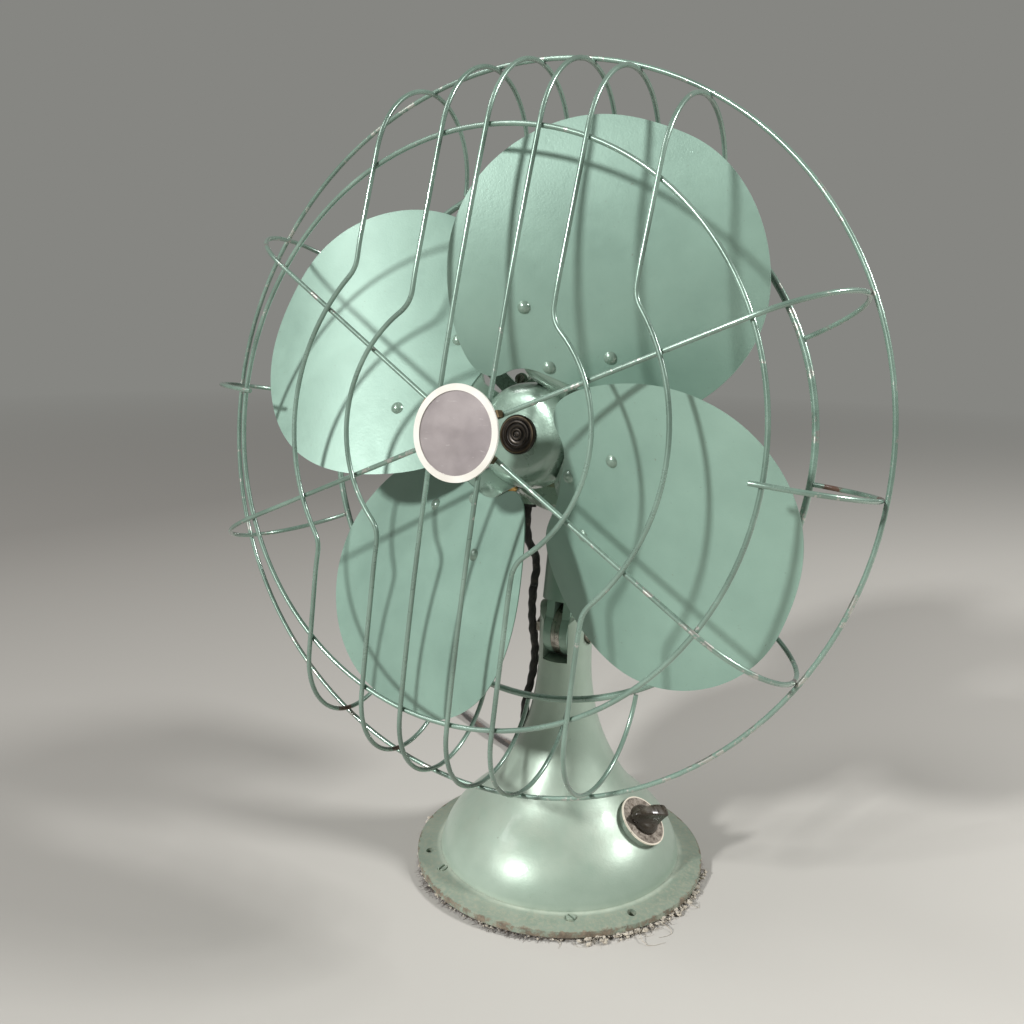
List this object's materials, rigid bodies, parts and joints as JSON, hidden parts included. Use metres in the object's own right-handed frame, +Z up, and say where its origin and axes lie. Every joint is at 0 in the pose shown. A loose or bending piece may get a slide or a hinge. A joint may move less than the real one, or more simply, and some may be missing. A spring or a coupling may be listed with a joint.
{
  "type": "oscillating desk fan",
  "caption": "Electric oscillating desk fan: round bell base with rotary switch, tilting neck, motor head, bowed wire guard and broad riveted blades.",
  "frame": {"origin": "middle of the base's underside, on the surface the fan stands on", "axes": "+Z up, the fan head faces -Y, +X on the right of a viewer who faces the fan"},
  "size_m": [0.5455, 0.4955, 0.5629],
  "materials": {
    "green_enamel": "satin green stove enamel over cast iron, dusty",
    "blade_green": "satin green enamel on pressed sheet",
    "wire_green": "green enamel on steel wire, rusty where it is worn",
    "felt": "brown felt, frayed at the edge",
    "bright_steel": "plated steel, dulled",
    "dial_metal": "grey brown etched plate with a cream edge, bare",
    "black_bakelite": "worn moulded phenolic",
    "brass_parts": "tarnished brass",
    "bronze": "bearing bronze",
    "dark_nose": "oil darkened turned bronze",
    "laminations": "stacked electrical steel",
    "copper_wire": "enamelled copper wire",
    "black_rubber": "aged moulded rubber",
    "cord_cover": "twisted cloth covered pair, brown and black",
    "lead_cover": "black braided sleeve",
    "badge_cream": "cream enamel",
    "badge_grey": "bare grey mauve enamel"
  },
  "bodies": {
    "base": {"base_casting": "green_enamel", "base_felt": "felt", "base_cover": "bright_steel", "base_screws": "bright_steel", "dial_plate": "dial_metal", "switch_body": "black_bakelite", "switch_bush": "bright_steel", "hinge_bolt": "bright_steel", "hinge_nut": "bright_steel", "friction_discs": "bright_steel", "cord_bushing": "black_rubber", "strain_relief": "black_rubber", "power_cord": "cord_cover", "cord_coil": "cord_cover", "plug_body": "black_bakelite", "plug_blades": "brass_parts", "motor_lead": "lead_cover"},
    "knob": {"switch_knob": "black_bakelite", "switch_shaft": "bright_steel", "knob_screw": "brass_parts"},
    "neck": {"neck_casting": "green_enamel", "swivel_spindle": "bright_steel", "thrust_washer": "bright_steel", "link_pin": "bright_steel"},
    "link": {"link_arm": "bright_steel"},
    "head": {"motor_body": "green_enamel", "motor_cover": "green_enamel", "cover_screws": "bright_steel", "stator": "laminations", "windings": "copper_wire", "bearings": "bronze", "oil_cups": "brass_parts", "lead_bushing": "black_rubber", "gear_case": "green_enamel", "guard_outer_ring": "wire_green", "guard_front_ring": "wire_green", "guard_rear_ring": "wire_green", "guard_wires_straight": "wire_green", "guard_wires_inner": "wire_green", "guard_wires_outer": "wire_green", "guard_spokes": "wire_green", "guard_side_loops": "wire_green", "guard_brackets": "green_enamel", "guard_screws": "bright_steel", "badge_back": "brass_parts", "badge_rim": "badge_cream", "badge_face": "badge_grey"},
    "crank": {"worm_wheel": "bronze", "crank_disc": "bright_steel"},
    "clutch": {"clutch_knob": "black_bakelite"},
    "rotor": {"blade_1": "blade_green", "blade_2": "blade_green", "blade_3": "blade_green", "blade_4": "blade_green", "blade_spider": "blade_green", "blade_rivets": "blade_green", "nose_cap": "dark_nose", "hub_screw": "brass_parts", "motor_shaft": "bright_steel", "rotor_core": "laminations"}
  },
  "joints": [
    {"name": "head_tilt", "type": "hinge", "parent": "base", "child": "neck", "pos_m": [0, 0, 0.183], "axis": [1, 0, 0], "range_deg": [-16, 24], "deforming": ["motor_lead"]},
    {"name": "head_swing", "type": "hinge", "parent": "neck", "child": "head", "pos_m": [0, 0.01239, 0.259], "axis": [0, 0.1609, 0.987], "range_deg": [-27, 27], "deforming": ["motor_lead"]},
    {"name": "link_turn", "type": "hinge", "parent": "neck", "child": "link", "pos_m": [0.03, 0.00941, 0.24074], "axis": [0, 0.1609, 0.987], "range_deg": [-28, 28]},
    {"name": "fan_spin", "type": "hinge", "parent": "head", "child": "rotor", "pos_m": [0, 0.02227, 0.3196], "axis": [0, -0.987, 0.1609], "continuous": true},
    {"name": "crank_turn", "type": "hinge", "parent": "head", "child": "crank", "pos_m": [0.03, 0.11011, 0.30528], "axis": [0, 0.1609, 0.987], "continuous": true},
    {"name": "clutch_pull", "type": "slide", "parent": "head", "child": "clutch", "axis": [0, 0.1609, 0.987], "range_m": [0, 0.006]},
    {"name": "switch_turn", "type": "hinge", "parent": "base", "child": "knob", "pos_m": [0.0689, -0.0053, 0.0512], "axis": [0.6545, -0.0458, 0.7547], "range_deg": [-120, 0]}
  ],
  "couplings": [
    {"joint": "link_turn", "follows": "head_swing", "ratio": 1},
    {"joint": "crank_turn", "follows": "fan_spin", "ratio": -0.025}
  ]
}
